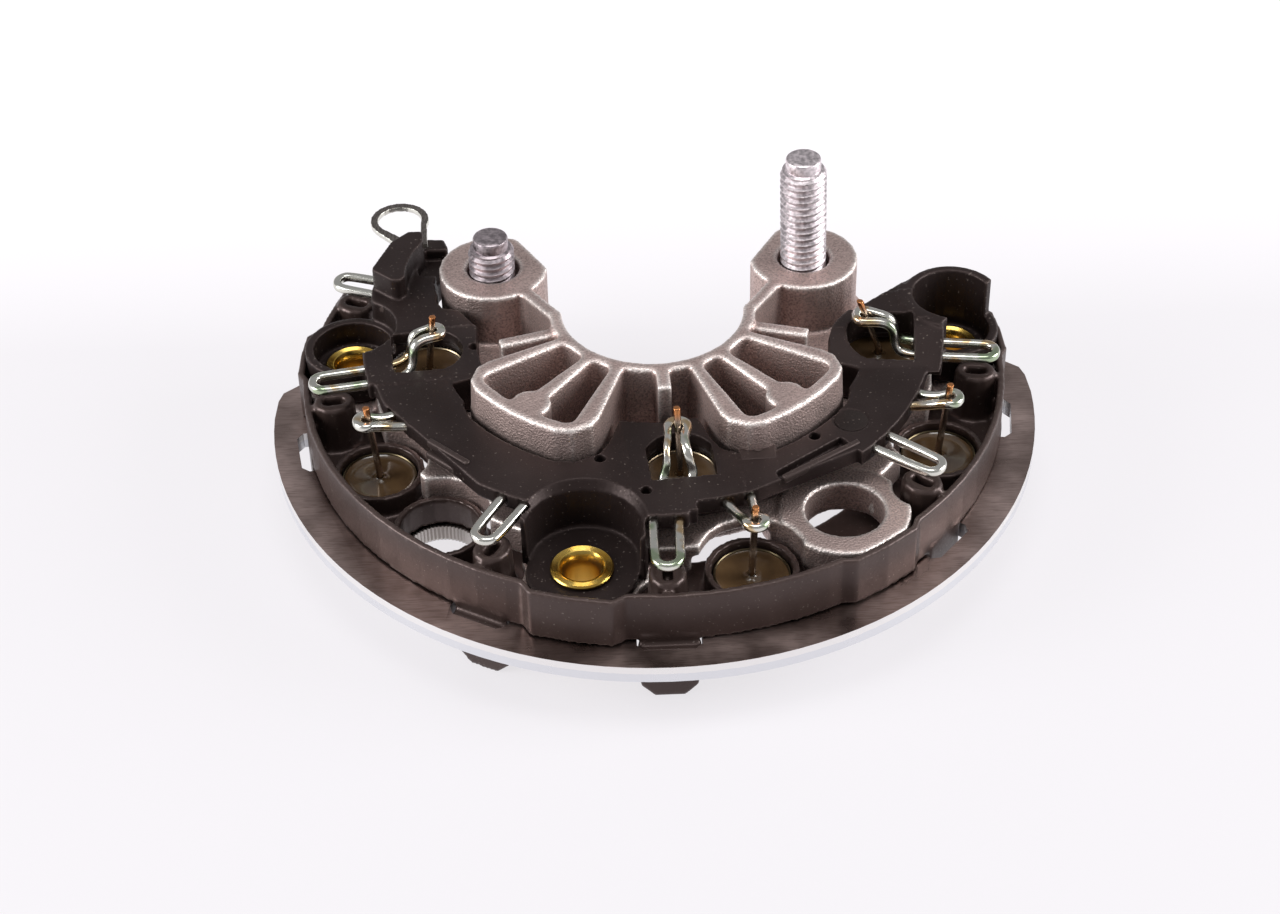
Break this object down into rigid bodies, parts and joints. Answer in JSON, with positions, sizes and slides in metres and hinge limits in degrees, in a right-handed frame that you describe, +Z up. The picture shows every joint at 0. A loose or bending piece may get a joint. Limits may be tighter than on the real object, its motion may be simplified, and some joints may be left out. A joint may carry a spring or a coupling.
{
  "type": "alternator rectifier",
  "caption": "Crescent-shaped alternator rectifier: press-fit diodes in a die-cast upper and a flat lower heat sink, with a moulded connection cover and two terminal studs.",
  "frame": {"origin": "under the centre of the bounding box, at the plane of the wiring tray's feet", "axes": "+Z up along the studs, the crescent's middle towards -Y, its open side towards +Y"},
  "size_m": [0.13, 0.1014, 0.0501],
  "materials": {
    "casting": "die cast",
    "plate": "brushed",
    "nylon": "satin",
    "zinc": "zinc plated",
    "tinned": "tinned",
    "cup": "plated",
    "potting": "resin",
    "rivet": "yellow zinc"
  },
  "bodies": {
    "root": {"negative_heat_sink": "plate", "wiring_tray": "nylon", "positive_heat_sink": "casting", "connection_cover": "nylon", "short_terminal_stud": "zinc", "long_terminal_stud": "zinc", "negative_diode_left_cup": "cup", "negative_diode_left_potting": "potting", "negative_diode_left_lead": "tinned", "negative_diode_front_cup": "cup", "negative_diode_front_potting": "potting", "negative_diode_front_lead": "tinned", "negative_diode_right_cup": "cup", "negative_diode_right_potting": "potting", "negative_diode_right_lead": "tinned", "positive_diode_left_cup": "cup", "positive_diode_left_potting": "potting", "positive_diode_left_lead": "tinned", "positive_diode_front_cup": "cup", "positive_diode_front_potting": "potting", "positive_diode_front_lead": "tinned", "positive_diode_right_cup": "cup", "positive_diode_right_potting": "potting", "positive_diode_right_lead": "tinned", "negative_loop_left": "tinned", "negative_loop_front": "tinned", "negative_loop_right": "tinned", "positive_loop_left": "tinned", "positive_loop_front": "tinned", "positive_loop_right": "tinned", "stator_terminal_1": "tinned", "stator_terminal_3": "tinned", "stator_terminal_5": "tinned", "rivet_left": "rivet", "rivet_front": "rivet", "rivet_right": "rivet", "insulating_bush_left": "nylon", "insulating_bush_front": "nylon", "insulating_bush_right": "nylon", "ring_terminal": "tinned"}
  },
  "joints": []
}
